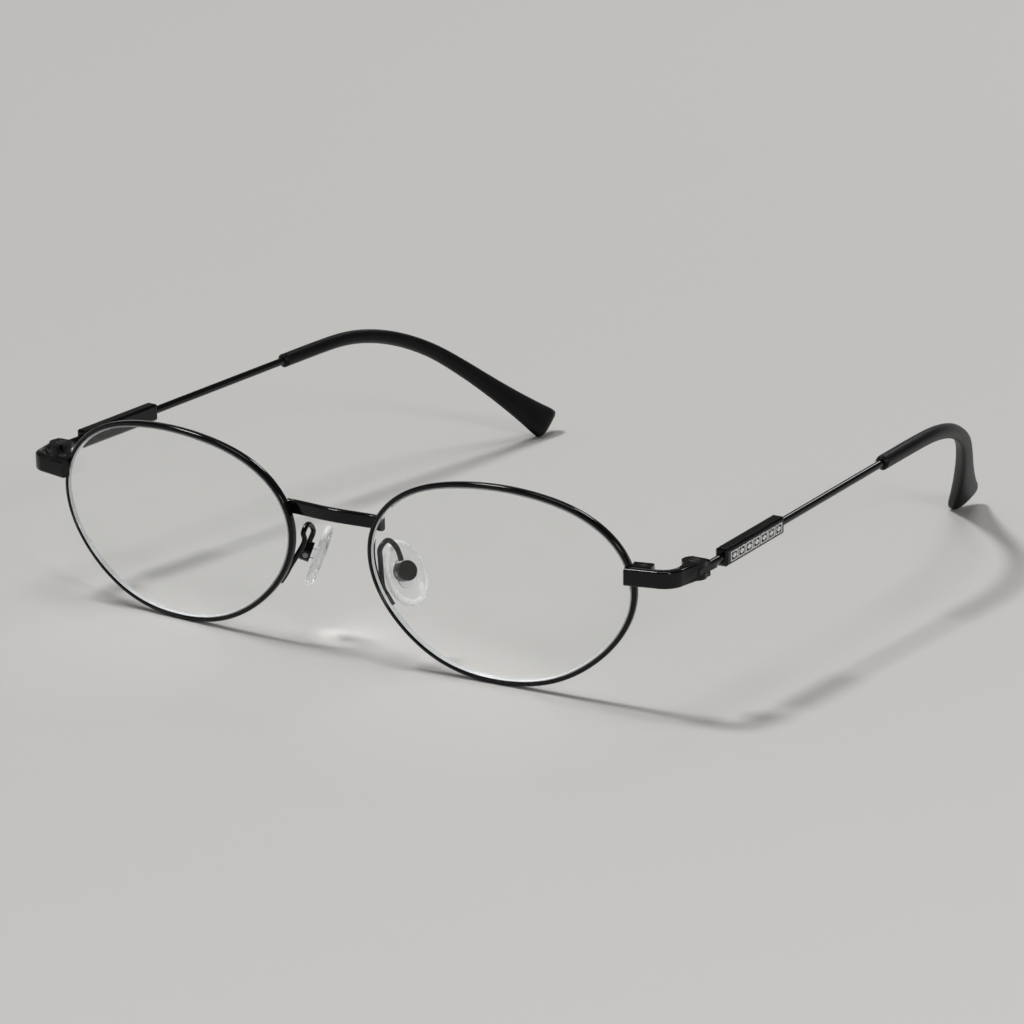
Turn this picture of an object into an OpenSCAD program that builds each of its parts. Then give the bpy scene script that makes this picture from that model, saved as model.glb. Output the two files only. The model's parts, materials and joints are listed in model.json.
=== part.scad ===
/* [Lenses and rims] */
// Width of one lens opening
lens_w = 50; // [44:0.5:56]
// Height of one lens opening
lens_h = 34.2; // [31:0.1:38]
// Gap between the two lens openings at the bridge
bridge_gap = 17; // [15:0.5:21]
// Radius of the sphere that the lenses follow
curve_r = 150; // [110:5:300]
// Thickness of a lens
lens_t = 1.6; // [1.4:0.1:2]
// Thickness of the rim wire, seen from the front
rim_t = 0.8; // [0.75:0.05:1.2]
// Depth of the rim wire, front to back
rim_d = 1.7; // [1.5:0.1:2.4]

/* [Bridge] */
// Height of the bridge bar
bridge_h = 2.4; // [2:0.1:3.4]
// Depth of the bridge bar, front to back
bridge_d = 1.3; // [1:0.1:1.8]
// How far the middle of the bridge stands forward of its ends
bridge_bow = 1.2; // [0.8:0.1:2.4]
// How far the middle of the bridge stands above its ends
bridge_rise = 0.3; // [0:0.1:1.5]

/* [End pieces and hinges] */
// Height of the end piece bar
end_h = 3.0; // [2.6:0.1:3.6]
// Thickness of the end piece bar
end_t = 1.8; // [1.5:0.1:2.2]
// Radius of the end piece's bend, at the middle of the bar
end_bend_r = 3.2; // [2.4:0.1:3.8]
// Distance from the middle of the face to a hinge pin
hinge_x = 65.8; // [65:0.1:69]
// Distance from the lens plane back to the hinge pins
hinge_y = 11.0; // [9.5:0.1:13]
// Diameter of the hinge screw's shaft
hinge_pin_d = 1.4; // [1.2:0.1:1.5]
// Thickness of the flattened end of the temple in the hinge slot
tongue_t = 1.0; // [0.8:0.05:1.1]

/* [Temples] */
// Length of a temple from the hinge pin, along its bend
temple_l = 147; // [142:1:157]
// Diameter of the temple wire
wire_d = 1.4; // [1.2:0.1:1.6]
// Length of the decorated block
block_l = 21; // [17:0.5:24]
// Height of the decorated block
block_h = 3.2; // [3:0.1:4]
// Thickness of the decorated block
block_t = 2.4; // [2.2:0.1:3]
// Distance from the hinge pin to the front of the block
block_start = 7.2; // [6.5:0.1:9]
// Length of the plastic tip along its bend
tip_l = 79; // [72:1:84]
// Distance from the hinge pin to the start of the ear bend
bend_start = 83; // [78:1:88]
// Radius of the ear bend
bend_r = 51; // [44:1:56]
// Angle of the ear bend
bend_angle = 44; // [38:1:50]

/* [Nose pads] */
// Length of a nose pad
pad_l = 12; // [11:0.5:14]
// Width of a nose pad
pad_w = 7.8; // [7:0.2:9]
// Thickness of a nose pad
pad_t = 2.2; // [1.7:0.1:2.4]
// Distance from the middle of the nose to the middle of a pad
pad_x = 9.2; // [8.8:0.1:10.2]
// Distance from the lens plane back to the middle of a pad
pad_y = 10.0; // [9.4:0.1:10.8]
// Depth of the middle of a pad below the hinge height
pad_drop = 10.1; // [9.2:0.1:11]
// Diameter of the pad arm's wire
arm_d = 1.0; // [0.9:0.05:1.2]

/* [Ornament] */
// Number of square panels in the strip
panel_count = 7; // [3:1:9]

/* [Hidden] */
$fn = 48;

// Overrun that takes a cut clear through a face
over = 0.5;
// Gap between two pieces that are soldered or seated face to face
seat = 0.03;
// Solder between a wire or bar and what carries it
solder_gap = 0.06;
// Radial clearance of a pin that turns in a hole
pin_play = 0.03;
// Clearance of a plate that turns in a slot, on each side
slot_play = 0.04;

// Colours as photographed
black_metal = [0.06, 0.06, 0.07];
black_plastic = [0.03, 0.03, 0.035];
dark_steel = [0.2, 0.2, 0.21];
silver = [0.75, 0.75, 0.77];
clear_insert = [0.88, 0.9, 0.92, 0.6];
clear_lens = [0.85, 0.9, 0.92, 0.3];
clear_silicone = [0.92, 0.93, 0.94, 0.5];

// Stations round a lens, and points round a thin wire
eye_steps = 72;
wire_steps = 10;
// Half step used to find the outline's direction, in degrees
fine_step = 1;

// The lens outline is an ellipse, made fuller or flatter at the brow, shoulders, outer top and corners
brow_share = 0.03;
shoulder_share = 0.009;
outer_share = 0.006;
corner_share = 0.005;

// Lens plane: turned back at its outer side, leaning forward at its top, and below the hinge height
wrap = 3.6;
lean = 1.25;
lens_drop = 5.2;
eye_x = (bridge_gap + lens_w) / 2;

function unit(v) = v / norm(v);
function spin_x(p, a) = [p[0], p[1] * cos(a) - p[2] * sin(a), p[1] * sin(a) + p[2] * cos(a)];
function spin_z(p, a) = [p[0] * cos(a) - p[1] * sin(a), p[0] * sin(a) + p[1] * cos(a), p[2]];

// Lens outline at parameter t, outwards and up from the lens centre
function eye_fullness(a) =
    1 + brow_share * sin(3 * a) + shoulder_share * sin(5 * a)
    + outer_share * sin(2 * a) - corner_share * cos(4 * a);
function eye_point(t) =
    let (u = lens_w / 2 * cos(t), v = lens_h / 2 * sin(t), fullness = eye_fullness(atan2(v, u)))
    [u * fullness, v * fullness];
function eye_tangent(t) = unit(eye_point(t + fine_step) - eye_point(t - fine_step));
function eye_normal(t) = let (d = eye_tangent(t)) [d[1], -d[0]];
function eye_normal_angle(t) = let (n = eye_normal(t)) atan2(n[1], n[0]);
function eye_speed(t) = norm(eye_point(t + fine_step) - eye_point(t - fine_step)) / (2 * fine_step);

// The outline is laid on the lens sphere, whose centre lies behind the lens
function sag(p) = curve_r - sqrt(curve_r * curve_r - p[0] * p[0] - p[1] * p[1]);
function dome(p) = [p[0], sag(p), p[1]];
function dome_front(p) = [p[0], sag(p) - curve_r, p[1]] / curve_r;
function dome_out(p, n) = unit([n[0], (p[0] * n[0] + p[1] * n[1]) / (curve_r - sag(p)), n[1]]);
function dome_slope(p) = atan2(norm(p), curve_r);

// A point beside the outline: out from it and in front of it
function rim_place(t, out, fore) =
    let (p = eye_point(t)) dome(p) + out * dome_out(p, eye_normal(t)) + fore * dome_front(p);

// Lens frame to front frame, front frame to the temples' frame
function lens_to_front(p) = spin_z(p, wrap) + [eye_x, 0, -lens_drop];
function front_to_frame(p) = spin_x(p, lean);
function rim_spot(t, out, fore) = front_to_frame(lens_to_front(rim_place(t, out, fore)));

module in_lens_frame() {
    rotate([lean, 0, 0])
        translate([eye_x, 0, -lens_drop])
            rotate([0, 0, wrap])
                children();
}

// A skin through rings of equal point counts, closed by a flat face or by a fan to a given point
module loft(rings, first_tip = undef, last_tip = undef) {
    n = len(rings[0]);
    m = len(rings);
    tips = [for (tip = [first_tip, last_tip]) if (!is_undef(tip)) tip];
    points = concat([for (ring = rings) each ring], tips);
    sides = [for (i = [0 : m - 2]) for (j = [0 : n - 1])
        let (a = i * n + j, b = i * n + (j + 1) % n) each [[a, b, b + n], [a, b + n, a + n]]];
    last = (m - 1) * n;
    first_cap = is_undef(first_tip)
        ? [[for (j = [n - 1 : -1 : 0]) j]]
        : [for (j = [0 : n - 1]) [m * n, (j + 1) % n, j]];
    last_cap = is_undef(last_tip)
        ? [[for (j = [0 : n - 1]) last + j]]
        : [for (j = [0 : n - 1]) [len(points) - 1, last + j, last + (j + 1) % n]];
    polyhedron(points, concat(sides, first_cap, last_cap), convexity = 10);
}

// An outline set square to a direction, its second axis as near as can be to a reference
function set_ring(centre, dir, ref, outline) =
    let (up = unit(ref - (ref * dir) * dir), side = cross(dir, up))
    [for (q = outline) centre + q[0] * side + q[1] * up];
function oval_outline(w, h, steps) = [for (i = [0 : steps - 1])
    let (a = i * 360 / steps) [w / 2 * cos(a), h / 2 * sin(a)]];
// Smooth curve through four points, from the second to the third
function through(p0, p1, p2, p3, f) =
    (2 * p1 + (p2 - p0) * f + (2 * p0 - 5 * p1 + 4 * p2 - p3) * f * f
        + (3 * p1 - p0 - 3 * p2 + p3) * f * f * f) / 2;
function smooth_path(stops, steps) =
    let (n = len(stops) - 1)
    concat([for (i = [0 : n - 1]) for (k = [0 : steps - 1])
        through(stops[max(i - 1, 0)], stops[i], stops[i + 1], stops[min(i + 2, n)], k / steps)], [stops[n]]);
function path_dir(path, i) = unit(path[min(i + 1, len(path) - 1)] - path[max(i - 1, 0)]);

// Rims: rounded outside, V groove inside, split at the closing block
groove_w = 1.0;
groove_depth = 0.4;
rim_split = 0.2;
// Section of the rim wire: shares of its thickness outwards, shares of its half depth forwards
rim_lip_share = 0.88;
rim_shares = [
    [0.1, 1], [0.62, 1], [0.9, 0.78], [1, 0.4], [1, -0.4],
    [0.9, -0.78], [0.62, -1], [0.1, -1], [0, -rim_lip_share]
];
rim_section = concat(
    [for (s = rim_shares) [s[0] * rim_t, s[1] * rim_d / 2]],
    [[0, -groove_w / 2], [groove_depth, 0], [0, groove_w / 2], [0, rim_lip_share * rim_d / 2]]
);
// The closing block sits where the outline crosses the hinge height
clamp_t = asin(lens_drop / (lens_h / 2));
rim_half_split = rim_split / 2 / eye_speed(clamp_t);
rim_stations = [for (i = [0 : eye_steps])
    clamp_t + rim_half_split + i * (360 - 2 * rim_half_split) / eye_steps];
rim_rings = [for (t = rim_stations) [for (s = rim_section) rim_place(t, s[0], s[1])]];

module rim() {
    color(black_metal)
        in_lens_frame()
            loft(rim_rings);
}

// Lenses: polished edge step, V bevel in the rim's groove, two spherical faces
bevel_play = 0.06;
edge_round = 0.22;
face_shares = [0.72, 0.4];
lens_edge_section = [
    [-edge_round - bevel_play, lens_t / 2], [-bevel_play, lens_t / 2 - edge_round],
    [-bevel_play, groove_w / 2 - bevel_play], [groove_depth - 2 * bevel_play, 0],
    [-bevel_play, bevel_play - groove_w / 2], [-bevel_play, edge_round - lens_t / 2],
    [-edge_round - bevel_play, -lens_t / 2]
];
function face_ring(share, fore) = [for (t = rim_stations_closed)
    let (p = share * eye_point(t)) dome(p) + fore * dome_front(p)];
rim_stations_closed = [for (i = [0 : eye_steps - 1]) rim_stations[i]];
lens_rings = concat(
    [for (k = [len(face_shares) - 1 : -1 : 0]) face_ring(face_shares[k], lens_t / 2)],
    [for (s = lens_edge_section) [for (t = rim_stations_closed) rim_place(t, s[0], s[1])]],
    [for (share = face_shares) face_ring(share, -lens_t / 2)]
);

module lens() {
    color(clear_lens)
        in_lens_frame()
            loft(
                [for (k = [len(lens_rings) - 1 : -1 : 0]) lens_rings[k]],
                [0, lens_t / 2, 0], [0, -lens_t / 2, 0]
            );
}

// Closing block: two halves outside the rim, drawn together by a screw along the rim's edge
clamp_w = 3.2;
clamp_h = 2.7;
clamp_back = 0.5;
clamp_round = 0.5;
clamp_screw_d = 1.2;
clamp_head_d = 1.6;
clamp_head_h = 0.5;
clamp_screw_x = rim_t + seat + clamp_w / 2;
clamp_point = eye_point(clamp_t);

module at_clamp(tilt = 0) {
    in_lens_frame()
        translate(dome(clamp_point))
            rotate([0, -tilt, 0])
                rotate([0, 0, dome_slope(clamp_point)])
                    children();
}

// Plan outline of the block, rounded at its outer back corner
module clamp_plan() {
    front = -rim_d / 2;
    back = rim_d / 2 + clamp_back;
    difference() {
        translate([0, front])
            square([rim_t + seat + clamp_w, back - front]);
        translate([rim_t + seat + clamp_w - clamp_round, back - clamp_round])
            square([clamp_round + over, clamp_round + over]);
    }
    translate([rim_t + seat + clamp_w - clamp_round, back - clamp_round])
        circle(r = clamp_round);
}

// Half of the block, from a height up, its inner face along the rim
module closing_half(low) {
    color(black_metal)
        difference() {
            at_clamp()
                translate([0, 0, low])
                    linear_extrude((clamp_h - rim_split) / 2)
                        clamp_plan();
            at_clamp(eye_normal_angle(clamp_t))
                translate([-clamp_w, -clamp_h, -clamp_h])
                    cube([clamp_w + rim_t + seat, 2 * clamp_h, 2 * clamp_h]);
            at_clamp()
                translate([clamp_screw_x, 0, -clamp_h])
                    cylinder(d = clamp_screw_d + 2 * pin_play, h = 2 * clamp_h);
        }
}

module closing_block_upper() {
    closing_half(rim_split / 2);
}

module closing_block_lower() {
    closing_half(-clamp_h / 2);
}

// A screw slot is this share of its head
screw_slot_share = 0.2;

// Slotted cheese-head screw along +Z, the head's seat at z = 0 and the shaft above it
module screw(shaft_d, shaft_l, head_d, head_h) {
    slot_w = screw_slot_share * head_d;
    cylinder(d = shaft_d, h = shaft_l);
    difference() {
        translate([0, 0, -head_h])
            cylinder(d = head_d, h = head_h);
        translate([-head_d, -slot_w / 2, -head_h - over])
            cube([2 * head_d, slot_w, over + head_h / 2]);
    }
}

module closing_screw() {
    color(dark_steel)
        at_clamp()
            translate([clamp_screw_x, 0, -clamp_h / 2 - seat])
                screw(clamp_screw_d, clamp_h + seat, clamp_head_d, clamp_head_h);
}

// End piece: a rounded bar that runs over the rim, bends back and ends in the slotted hinge lug
end_round = 0.35;
end_gap = 0.08;
end_splay = 10;
end_off = 1.35;
end_lap = 0.3;
end_tail = 1.7;
lug_r = 2.15;
// The hinge screw's head lies flush in the lug
hinge_head_d = 1.9;
hinge_head_h = 0.45;
tongue_r = 1.85;
heel = 1.9;
hinge_at = [hinge_x, hinge_y];
// Headings, counted from +X: along the front of the bar, then along its side
front_heading = wrap + dome_slope(clamp_point);
side_heading = 90 - end_splay;
end_turn = side_heading - front_heading;
function heading(a) = [cos(a), sin(a)];
// Where two lines in the plan meet
function meet(p, a, q, b) =
    let (d = heading(a), e = heading(b), r = q - p)
    p + d * (r[0] * e[1] - r[1] * e[0]) / (d[0] * e[1] - d[1] * e[0]);
rim_front = rim_spot(clamp_t, 0, 0);
bar_start = [rim_front[0], rim_front[1]]
    - (rim_d / 2 + end_gap + end_t / 2) * [-sin(front_heading), cos(front_heading)]
    - end_lap * heading(front_heading);
bar_end = hinge_at + [end_off, end_tail];
bar_corner = meet(bar_start, front_heading, bar_end, side_heading);
bar_tangent = end_bend_r * tan(end_turn / 2);
bend_in = bar_corner - bar_tangent * heading(front_heading);
bend_out = bar_corner + bar_tangent * heading(side_heading);
bend_centre = bend_in + end_bend_r * [-sin(front_heading), cos(front_heading)];
// The temple runs back slightly inwards, beside the hinge pin
tuck = 2;
wire_off = 1.2;

// Rectangle with rounded corners, each corner in a few straight facets
corner_steps = 3;
function rounded(w, h, r) = [
    for (q = [[1, 1, 0], [-1, 1, 90], [-1, -1, 180], [1, -1, 270]])
        for (k = [0 : corner_steps])
            let (a = q[2] + 90 * k / corner_steps)
            [q[0] * (w / 2 - r) + r * cos(a), q[1] * (h / 2 - r) + r * sin(a)]
];
module bar_section() {
    polygon(rounded(end_t, end_h, end_round));
}
// The straight legs are finer than the bend by the seam's step and reach a little way into it
seam_step = 0.02;
seam_lap = 0.1;
module leg_section() {
    polygon(rounded(end_t - seam_step, end_h - seam_step, end_round));
}

// Straight bar from a point in the plan, along a heading
module bar(from, angle, length) {
    translate([from[0], from[1], 0])
        rotate([0, 0, angle - 90])
            translate([0, length, 0])
                rotate([90, 0, 0])
                    linear_extrude(length)
                        leg_section();
}

module at_hinge() {
    translate([hinge_x, hinge_y, 0])
        rotate([0, 0, tuck])
            children();
}

// Fillet between the lug and the bar's inner side, cutting a little way into both
fillet_r = 2.5;
fillet_lap = 0.05;
bar_inwards = heading(side_heading + 90);
pin_from_end = hinge_at - bar_end;
fillet_aside = end_t / 2 + fillet_r - fillet_lap;
fillet_reach = lug_r + fillet_r - fillet_lap;
fillet_across = fillet_aside - pin_from_end * bar_inwards;
fillet_along = pin_from_end * heading(side_heading)
    - sqrt(fillet_reach * fillet_reach - fillet_across * fillet_across);
fillet_foot = bar_end + fillet_along * heading(side_heading);
fillet_centre = fillet_foot + fillet_aside * bar_inwards;

// Lug round the hinge pin, blended into the bar
module hinge_lug() {
    translate([hinge_x, hinge_y, -end_h / 2])
        intersection() {
            cylinder(r = lug_r, h = end_h);
            translate([-lug_r, -lug_r, 0])
                cube([2 * lug_r, lug_r + end_tail, end_h]);
        }
    translate([0, 0, -end_h / 2])
        linear_extrude(end_h)
            difference() {
                polygon([hinge_at, fillet_centre, fillet_foot, bar_end]);
                translate(fillet_centre)
                    circle(r = fillet_r);
            }
}

module end_piece() {
    slot_h = tongue_t + 2 * slot_play;
    color(black_metal)
        difference() {
            union() {
                bar(bar_start, front_heading, norm(bend_in - bar_start) + seam_lap);
                translate([bend_centre[0], bend_centre[1], 0])
                    rotate([0, 0, front_heading - 90])
                        rotate_extrude(angle = end_turn)
                            translate([end_bend_r, 0])
                                bar_section();
                bar(
                    bend_out - seam_lap * heading(side_heading), side_heading,
                    norm(bar_end - bend_out) + seam_lap
                );
                hinge_lug();
            }
            at_hinge()
                translate([-2 * lug_r, -heel - slot_play, -slot_h / 2])
                    cube([4 * lug_r, 4 * lug_r, slot_h]);
            translate([hinge_x, hinge_y, -end_h / 2 - over])
                cylinder(d = hinge_pin_d + 2 * pin_play, h = end_h + 2 * over);
            translate([hinge_x, hinge_y, end_h / 2 - hinge_head_h - seat])
                cylinder(d = hinge_head_d + 2 * seat, h = hinge_head_h + over);
        }
}

// Hinge screw, its head up in the lug's counterbore
module hinge_screw() {
    color(dark_steel)
        translate([hinge_x, hinge_y, end_h / 2 - hinge_head_h])
            mirror([0, 0, 1])
                screw(hinge_pin_d, end_h - hinge_head_h, hinge_head_d, hinge_head_h);
}

// Flattened, drilled end of the temple, with its heel stop and its round neck into the block
neck_start = 2.7;
neck_in = 3;
neck_half = 1.1;
module temple_tongue() {
    plan = [
        [0, -heel], [heel - end_round, -heel], [heel, -heel + end_round], [wire_off + neck_half, neck_start],
        [wire_off + neck_half, neck_start + neck_half], [wire_off - neck_half, neck_start + neck_half],
        [wire_off - neck_half, neck_start]
    ];
    color(black_metal)
        at_hinge()
            difference() {
                union() {
                    translate([0, 0, -tongue_t / 2])
                        linear_extrude(tongue_t) {
                            circle(r = tongue_r);
                            polygon(concat(plan, [[-tongue_r, 0]]));
                        }
                    translate([wire_off, neck_start, 0])
                        rotate([-90, 0, 0])
                            cylinder(d = wire_d, h = block_start + neck_in - neck_start);
                }
                translate([0, 0, -tongue_t])
                    cylinder(d = hinge_pin_d + 2 * pin_play, h = 2 * tongue_t);
            }
}

// Block: chamfered all round, bored at both ends for the neck and the wire, recessed for the ornament
block_chamfer = 0.4;
recess_depth = 0.25;
recess_end = 1.0;
recess_edge = 0.35;
// Rectangle with its corners cut off
module cut_rectangle(w, h, c) {
    polygon([
        [c, 0], [w - c, 0], [w, c], [w, h - c], [w - c, h], [c, h], [0, h - c], [0, c]
    ]);
}

module at_block() {
    at_hinge()
        translate([wire_off, block_start, 0])
            children();
}

module temple_block() {
    color(black_metal)
        at_block()
            difference() {
                intersection() {
                    translate([-block_t / 2, block_l, -block_h / 2])
                        rotate([90, 0, 0])
                            linear_extrude(block_l)
                                cut_rectangle(block_t, block_h, block_chamfer);
                    translate([-block_t / 2, 0, -block_h / 2])
                        linear_extrude(block_h)
                            cut_rectangle(block_t, block_l, block_chamfer);
                    translate([-block_t / 2, 0, -block_h / 2])
                        rotate([90, 0, 90])
                            linear_extrude(block_t)
                                cut_rectangle(block_l, block_h, block_chamfer);
                }
                translate([0, -over, 0])
                    rotate([-90, 0, 0])
                        cylinder(d = wire_d + 2 * seat, h = neck_in + seat + over);
                translate([0, block_l + over, 0])
                    rotate([90, 0, 0])
                        cylinder(d = wire_d + 2 * seat, h = neck_in + seat + over);
                translate([
                    block_t / 2 - recess_depth, recess_end,
                    recess_edge + block_chamfer / 2 - block_h / 2
                ])
                    cube([recess_depth + over, block_l - 2 * recess_end,
                        block_h - 2 * recess_edge - block_chamfer]);
            }
}

// Ornament: a backing strip with a row of framed lozenges
panel_rise = 0.16;
panel_gap = 0.3;
frame_w = 0.22;
// Inset of a lozenge from its panel's edge, as a share of the panel's frame width
lozenge_share = 1.6;
module ornament() {
    strip_l = block_l - 2 * recess_end - 2 * seat;
    strip_h = block_h - 2 * recess_edge - block_chamfer - 2 * seat;
    pitch_l = strip_l / panel_count;
    panel_l = pitch_l - panel_gap;
    panel_h = strip_h - panel_gap;
    lozenge_l = panel_l / 2 - lozenge_share * frame_w;
    lozenge_h = panel_h / 2 - lozenge_share * frame_w;
    color(silver)
        at_block()
            translate([block_t / 2 - recess_depth + seat, recess_end + seat, -strip_h / 2])
                rotate([90, 0, 90]) {
                    linear_extrude(recess_depth - seat)
                        square([strip_l, strip_h]);
                    for (i = [0 : panel_count - 1])
                        translate([(i + 0.5) * pitch_l, strip_h / 2, 0])
                            linear_extrude(recess_depth - seat + panel_rise) {
                                difference() {
                                    square([panel_l, panel_h], center = true);
                                    square([panel_l - 2 * frame_w, panel_h - 2 * frame_w], center = true);
                                }
                                polygon([[lozenge_l, 0], [0, lozenge_h], [-lozenge_l, 0], [0, -lozenge_h]]);
                            }
                }
}

// Temple wire: straight from the block, then bent down and in, inside the tip
cant = 29;
// The wire's end inside the tip is ground slimmer
core_tail = 12;
core_step = 0.2;
core_lap = 0.5;
module in_temple_plane() {
    at_hinge()
        translate([wire_off, 0, 0])
            rotate([0, cant, 0])
                rotate([90, 0, 90])
                    children();
}

module temple_wire() {
    wire_start = block_start + block_l - neck_in;
    color(black_metal)
        in_temple_plane() {
            translate([wire_start, 0, 0])
                rotate([0, 90, 0])
                    cylinder(d = wire_d, h = bend_start - wire_start);
            translate([bend_start, -bend_r, 0])
                rotate_extrude(angle = bend_angle, start = 90 - bend_angle)
                    translate([bend_r, 0])
                        circle(d = wire_d);
            translate([bend_start, -bend_r, 0])
                rotate([0, 0, -bend_angle])
                    translate([-core_lap, bend_r, 0])
                        rotate([0, 90, 0])
                            cylinder(d = wire_d - core_step, h = core_lap + core_tail);
        }
}

// Tip: a sleeve whose flattened section swells towards its end
tip_start = temple_l - tip_l;
arc_l = bend_r * bend_angle * PI / 180;
tip_points = 14;
tip_play = 0.12;
collar_bevel = 0.5;
tip_w = 2.6;
tip_h = 2.7;
flare_w = 3.4;
flare_h = 8.6;
tip_cap = 1.2;
// Place and heading of the temple's line at a distance from the hinge, in the temple's plane
function line_point(s) =
    s < bend_start ? [s, 0, 0]
    : s < bend_start + arc_l
        ? let (a = (s - bend_start) / arc_l * bend_angle)
            [bend_start + bend_r * sin(a), bend_r * (cos(a) - 1), 0]
        : let (e = s - bend_start - arc_l)
            [bend_start + bend_r * sin(bend_angle) + e * cos(bend_angle),
             bend_r * (cos(bend_angle) - 1) - e * sin(bend_angle), 0];
function line_angle(s) = -bend_angle * min(max((s - bend_start) / arc_l, 0), 1);
// The flare grows late along the tip, and its end is cut aslant, the upper edge reaching further
swell_power = 4.5;
slant_share = 0.38;
function swell(s) = pow(min(max((s - bend_start) / (temple_l - bend_start), 0), 1), swell_power);
// Soft-cornered oval
oval_power = 0.75;
function soft(c) = sign(c) * pow(abs(c), oval_power);
function line_ring(s, w, h) =
    let (p = line_point(s), a = line_angle(s), slant = slant_share * swell(s))
    [for (i = [0 : tip_points - 1])
        let (b = i * 360 / tip_points, across = w / 2 * soft(cos(b)), up = h / 2 * soft(sin(b)))
        p + up * [-sin(a) + slant * cos(a), cos(a) + slant * sin(a), 0] + [0, 0, across]];
function bore_ring(s) =
    let (p = line_point(s), a = line_angle(s), r = wire_d / 2 + tip_play)
    [for (i = [0 : tip_points - 1])
        let (b = i * 360 / tip_points) p + [-sin(a) * r * sin(b), cos(a) * r * sin(b), r * cos(b)]];
function tip_ring(s, grow) =
    line_ring(s, tip_w + (flare_w - tip_w) * swell(s) + grow, tip_h + (flare_h - tip_h) * swell(s) + grow);
bore_end = bend_start + arc_l + core_tail + tip_play;
// Stations as shares of the stretch that they lie on
tip_shares = [0.12, 0.25, 0.38, 0.5, 0.62, 0.74, 0.86];
straight_share = 0.5;
// Rounded end: how far before the end, and how much smaller, as shares of its length
tip_end_shares = [[1, 0], [0.33, 0.5], [0, 1.4]];
tip_outer = concat(
    [tip_ring(tip_start, -2 * collar_bevel), tip_ring(tip_start + collar_bevel, 0)],
    [for (f = tip_shares) tip_ring(bend_start - (bend_start - tip_start) * straight_share * (1 - f), 0)],
    [for (f = tip_shares) tip_ring(bend_start + f * arc_l, 0)],
    [for (f = tip_shares) tip_ring(bend_start + arc_l + f * (temple_l - tip_cap - bend_start - arc_l), 0)],
    [for (e = tip_end_shares) tip_ring(temple_l - e[0] * tip_cap, -e[1] * tip_cap)]
);
tip_bore = concat(
    [bore_ring(bore_end), bore_ring(bend_start + arc_l)],
    [for (k = [len(tip_shares) - 1 : -1 : 0]) bore_ring(bend_start + tip_shares[k] * arc_l)],
    [bore_ring(bend_start), bore_ring(tip_start)]
);

module temple_tip() {
    color(black_plastic)
        in_temple_plane()
            loft([for (ring = concat(tip_bore, tip_outer)) ring], line_point(bore_end), line_point(temple_l));
}

// Bridge: a bar whose ends lie behind the rims and whose middle bows forwards and up
bridge_up = 1.05;
bridge_lap = 0.4;
bridge_steps = 22;
bridge_t = 180 - asin((lens_drop + bridge_up) / (lens_h / 2));
bridge_round = 0.35;
bridge_foot = lens_to_front(rim_place(bridge_t, -bridge_lap, -rim_d / 2 - solder_gap - bridge_d / 2));
bridge_edge = lens_to_front(rim_place(bridge_t, rim_t, -rim_d / 2));
bridge_outline = rounded(bridge_d, bridge_h, bridge_round);
function bridge_point(x) =
    let (f = min(max(1 - abs(x) / bridge_edge[0], 0), 1), lift = sin(90 * f) * sin(90 * f))
    [x, bridge_foot[1] - bridge_bow * lift, bridge_up + bridge_rise * lift];
bridge_path = [for (i = [0 : bridge_steps]) bridge_point(bridge_foot[0] * (2 * i / bridge_steps - 1))];

module bridge() {
    color(black_metal)
        rotate([lean, 0, 0])
            loft([for (i = [0 : bridge_steps])
                set_ring(bridge_path[i], path_dir(bridge_path, i), [0, 0, 1], bridge_outline)]);
}

// Nose pads: splayed back, flared out at the bottom, rocking on a screw through the box
pad_splay = 26;
pad_flare = 23;
core_t = 0.5;
lug_t = 0.9;
core_w = 3.6;
lug_w = 1.8;
lug_top = 2.25;
// The lug stands off the pad's middle, towards the lens and upwards
lug_off = 1.1;
lug_rise = 0.6;
box_d = 3.6;
box_low = 1.4;
box_high = 3.45;
box_roof = 0.25;
pad_screw_d = 1.0;
pad_head_d = 1.3;
pad_head_h = 0.35;

module at_pad() {
    translate([pad_x, pad_y, -pad_drop])
        rotate([0, -pad_flare, 0])
            rotate([0, 0, -pad_splay])
                rotate([90, 0, 90])
                    children();
}

module at_lug() {
    at_pad()
        translate([-lug_off, lug_rise, 0])
            children();
}

// The same turn for a point: width, height, distance from the nose
function pad_spot(p) =
    let (q = spin_z([p[2], p[0], p[1]], -pad_splay))
    [q[0] * cos(pad_flare) - q[2] * sin(pad_flare) + pad_x, q[1] + pad_y,
     q[0] * sin(pad_flare) + q[2] * cos(pad_flare) - pad_drop];

// Pad outline, fuller at the bottom, as rings from the nose side to the box side
pad_steps = 28;
pad_teardrop_share = 0.1;
pad_profile_shares = [
    [0.5, -0.93], [0.82, -0.72], [0.97, -0.4], [1, 0], [0.97, 0.4], [0.82, 0.72], [0.5, 0.93]
];
function pad_ring(share, level) = [for (i = [0 : pad_steps - 1])
    let (a = i * 360 / pad_steps)
    [share * pad_w / 2 * cos(a) * (1 - pad_teardrop_share * sin(a)), share * pad_l / 2 * sin(a), level]];

// Insert plate with its upright drilled lug
module pad_core_shape(grow) {
    lug_len = lug_w + 2 * grow;
    translate([0, 0, -core_t / 2 - grow])
        linear_extrude(core_t + 2 * grow)
            union() {
                for (y = [-1, 1])
                    translate([0, y * lug_w / 2])
                        circle(d = core_w + 2 * grow);
                square([core_w + 2 * grow, lug_w], center = true);
            }
    translate([-lug_off - lug_t / 2 - grow, lug_rise - lug_len / 2, 0])
        cube([lug_t + 2 * grow, lug_len, lug_top]);
}

module pad_core() {
    color(clear_insert)
        at_pad()
            difference() {
                union() {
                    pad_core_shape(0);
                    translate([-lug_off - lug_t / 2, lug_rise, lug_top])
                        rotate([0, 90, 0])
                            cylinder(d = lug_w, h = lug_t);
                }
                translate([-lug_off - lug_t, lug_rise, lug_top])
                    rotate([0, 90, 0])
                        cylinder(d = pad_screw_d + 2 * pin_play, h = 2 * lug_t);
            }
}

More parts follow.
